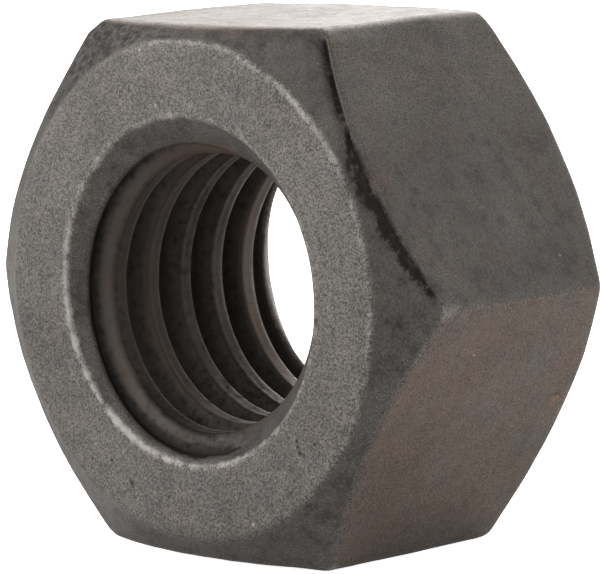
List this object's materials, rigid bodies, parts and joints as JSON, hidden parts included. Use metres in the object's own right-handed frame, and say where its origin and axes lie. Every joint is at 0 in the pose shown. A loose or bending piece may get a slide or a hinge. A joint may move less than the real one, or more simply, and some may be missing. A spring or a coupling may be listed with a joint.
{
  "type": "heavy hex nut",
  "caption": "Thick hexagonal nut in dark scaled steel, with conical chamfers at both ends and a countersunk, right-hand coarse-threaded through hole.",
  "frame": {"origin": "the nut's centre, on the thread axis and halfway between its two faces", "axes": "+Y along the thread axis, from the top face to the bearing face; +Z out of the uppermost flat, as the nut stands on the opposite one; +X towards a corner of the hexagon"},
  "size_m": [0.0308, 0.015, 0.027],
  "materials": {
    "scaled_steel": "matte"
  },
  "bodies": {
    "root": {"nut_body": "scaled_steel"}
  },
  "joints": []
}
